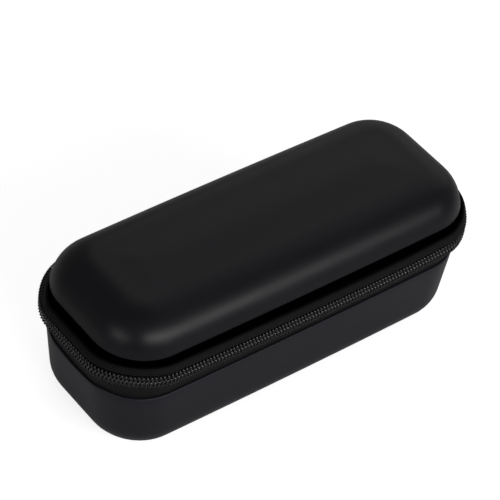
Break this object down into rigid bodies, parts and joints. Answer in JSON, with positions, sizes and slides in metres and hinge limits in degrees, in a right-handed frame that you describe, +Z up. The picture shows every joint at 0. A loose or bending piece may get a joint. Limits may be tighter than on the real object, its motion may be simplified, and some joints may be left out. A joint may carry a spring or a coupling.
{
  "type": "beard trimmer travel case",
  "caption": "Moulded foam travel case for a beard trimmer, with a hinged lid, coil zipper and slider, strap and net pocket.",
  "frame": {"origin": "middle of the flat bottom face that the case rests on", "axes": "+X along the case to its right end, -Y to its front, +Z up; the hinge is at the back"},
  "size_m": [0.1892, 0.0823, 0.071],
  "materials": {
    "coated_cloth_lid": "matte black coated cloth",
    "coated_cloth_base": "matte charcoal coated cloth",
    "eva_foam": "moulded closed-cell foam, matte",
    "knit_lining": "brushed knit lining",
    "woven_tape": "woven polyester tape",
    "nylon_coil": "satin nylon",
    "net": "knitted net",
    "elastic": "woven elastic",
    "black_zinc": "black electrophoretic coat on zinc"
  },
  "bodies": {
    "base": {"base_cover": "coated_cloth_base", "base_foam": "eva_foam", "base_lining": "knit_lining", "base_binding": "woven_tape", "lower_zip_tape": "woven_tape", "lower_zip_coil": "nylon_coil", "lower_top_stop": "black_zinc", "bottom_stop": "black_zinc", "device_strap": "elastic", "hinge_strip": "woven_tape", "hinge_backing": "knit_lining"},
    "lid": {"lid_cover": "coated_cloth_lid", "lid_foam": "eva_foam", "lid_lining": "knit_lining", "lid_binding": "woven_tape", "upper_zip_tape": "woven_tape", "upper_zip_coil": "nylon_coil", "upper_top_stop": "black_zinc", "mesh_pocket": "net", "pocket_hem": "elastic"},
    "slider": {"slider_body": "black_zinc", "slider_bridge": "black_zinc"},
    "puller": {"pull_tab": "black_zinc"}
  },
  "joints": [
    {"name": "lid_hinge", "type": "hinge", "parent": "base", "child": "lid", "pos_m": [0, 0.0405, 0.04425], "axis": [-1, 0, 0], "range_deg": [0, 170], "deforming": ["hinge_strip", "hinge_backing", "upper_zip_tape", "lower_zip_tape"]},
    {"name": "slider_travel", "type": "slide", "parent": "base", "child": "slider", "axis": [1, 0, 0], "range_m": [0, 0.02], "deforming": ["upper_zip_coil", "lower_zip_coil"]},
    {"name": "pull_tab_swing", "type": "hinge", "parent": "slider", "child": "puller", "pos_m": [0.04125, 0.04125, 0.046], "axis": [0, 0, 1], "range_deg": [0, 170]}
  ]
}
